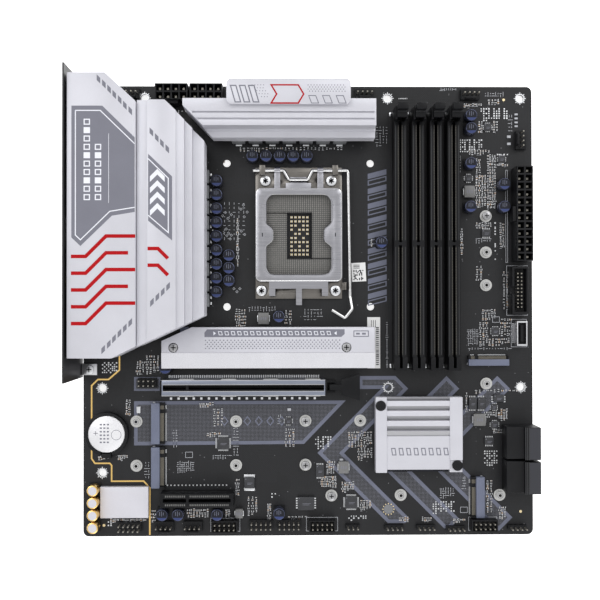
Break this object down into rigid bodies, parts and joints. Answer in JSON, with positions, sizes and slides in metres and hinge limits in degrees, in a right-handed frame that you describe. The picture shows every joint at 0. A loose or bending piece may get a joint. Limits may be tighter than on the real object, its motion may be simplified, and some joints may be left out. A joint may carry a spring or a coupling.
{
  "type": "motherboard",
  "caption": "Compact desktop motherboard with a lever-locked processor socket, latched memory slots, expansion slots, white heatsinks and a rear connector cover.",
  "frame": {"origin": "middle of the footprint, on the plane that the lowest points rest on", "axes": "+X from the rear connector edge to the front edge, +Y to the edge with the processor power sockets, +Z out of the component side"},
  "size_m": [0.2478, 0.2462, 0.0446],
  "materials": {
    "board": "black solder mask, satin",
    "white_metal": "silver-white coat, fine grain",
    "white_plastic": "silver-white, fine grain",
    "black_plastic": "moulded, matte",
    "black_steel": "black coated sheet",
    "steel": "nickel-plated sheet",
    "dark_steel": "stainless, brushed",
    "slot_steel": "blue-grey plated sheet",
    "gold": "gold-plated",
    "brass": "plated brass",
    "pad": "soft thermal pad",
    "ferrite": "pressed powder core",
    "tin": "dull tin",
    "capacitor": "dark printed can",
    "audio_can": "printed can",
    "chip": "moulded epoxy",
    "silicon": "polished die on a laminate",
    "grey_plastic": "grey, matte",
    "white_can": "white printed sheet",
    "cell": "stainless"
  },
  "bodies": {
    "board": {"pcb": "board", "io_shield": "black_steel", "shield_screw": "steel", "io_cover": "white_plastic", "usb_ports": "steel", "display_ports": "steel", "network_port": "steel", "antenna_posts": "brass", "audio_jacks": "black_plastic", "power_stages": "chip", "chokes": "ferrite", "power_pads": "pad", "rear_heatsink": "white_metal", "top_heatsink": "white_metal", "accent_plate": "white_plastic", "heatsink_screws": "steel", "socket_body": "grey_plastic", "socket_frame": "dark_steel", "socket_backplate": "black_steel", "socket_screws": "dark_steel", "long_expansion_slot": "black_plastic", "slot_armor": "slot_steel", "short_expansion_slot": "black_plastic", "m2_sockets": "grey_plastic", "m2_standoffs": "brass", "m2_screws": "dark_steel", "m2_heatsink": "white_metal", "m2_pad": "pad", "chipset": "silicon", "chipset_pad": "pad", "chipset_heatsink": "white_metal", "chipset_push_pins": "black_plastic", "main_power_socket": "black_plastic", "cpu_power_sockets": "black_plastic", "power_pins": "gold", "drive_ports": "black_plastic", "usb_header": "black_plastic", "usb_c_header": "steel", "pin_headers": "black_plastic", "fan_sockets": "black_plastic", "header_pins": "gold", "battery_holder": "black_plastic", "battery_cell": "cell", "audio_capacitors": "audio_can", "audio_shield": "white_can", "capacitors": "capacitor", "inductors": "tin", "chips": "chip", "dimm_slot_1": "black_plastic", "dimm_slot_2": "black_plastic", "dimm_slot_3": "black_plastic", "dimm_slot_4": "black_plastic"},
    "dimm_latch_1": {"dimm_latch_1": "black_plastic"},
    "dimm_latch_2": {"dimm_latch_2": "black_plastic"},
    "dimm_latch_3": {"dimm_latch_3": "black_plastic"},
    "dimm_latch_4": {"dimm_latch_4": "black_plastic"},
    "load_plate": {"load_plate": "dark_steel"},
    "slot_latch": {"slot_latch": "black_plastic"},
    "socket_lever": {"socket_lever": "steel"}
  },
  "joints": [
    {"name": "lever_hinge", "type": "hinge", "parent": "board", "child": "socket_lever", "pos_m": [-0.00392, 0.07432, 0.00857], "axis": [-1, 0, 0], "range_deg": [0, 120]},
    {"name": "plate_hinge", "type": "hinge", "parent": "board", "child": "load_plate", "pos_m": [-0.00392, 0.07432, 0.00857], "axis": [-1, 0, 0], "range_deg": [0, 90]},
    {"name": "dimm_latch_1_hinge", "type": "hinge", "parent": "board", "child": "dimm_latch_1", "pos_m": [0.05008, 0.10272, 0.00817], "axis": [-1, 0, 0], "range_deg": [0, 28]},
    {"name": "dimm_latch_2_hinge", "type": "hinge", "parent": "board", "child": "dimm_latch_2", "pos_m": [0.05963, 0.10272, 0.00817], "axis": [-1, 0, 0], "range_deg": [0, 28]},
    {"name": "dimm_latch_3_hinge", "type": "hinge", "parent": "board", "child": "dimm_latch_3", "pos_m": [0.06918, 0.10272, 0.00817], "axis": [-1, 0, 0], "range_deg": [0, 28]},
    {"name": "dimm_latch_4_hinge", "type": "hinge", "parent": "board", "child": "dimm_latch_4", "pos_m": [0.07873, 0.10272, 0.00817], "axis": [-1, 0, 0], "range_deg": [0, 28]},
    {"name": "slot_latch_hinge", "type": "hinge", "parent": "board", "child": "slot_latch", "pos_m": [0.01368, -0.04218, 0.00717], "axis": [0, 1, 0], "range_deg": [0, 15]}
  ],
  "couplings": [
    {"joint": "plate_hinge", "follows": "lever_hinge", "ratio": 0.75}
  ]
}
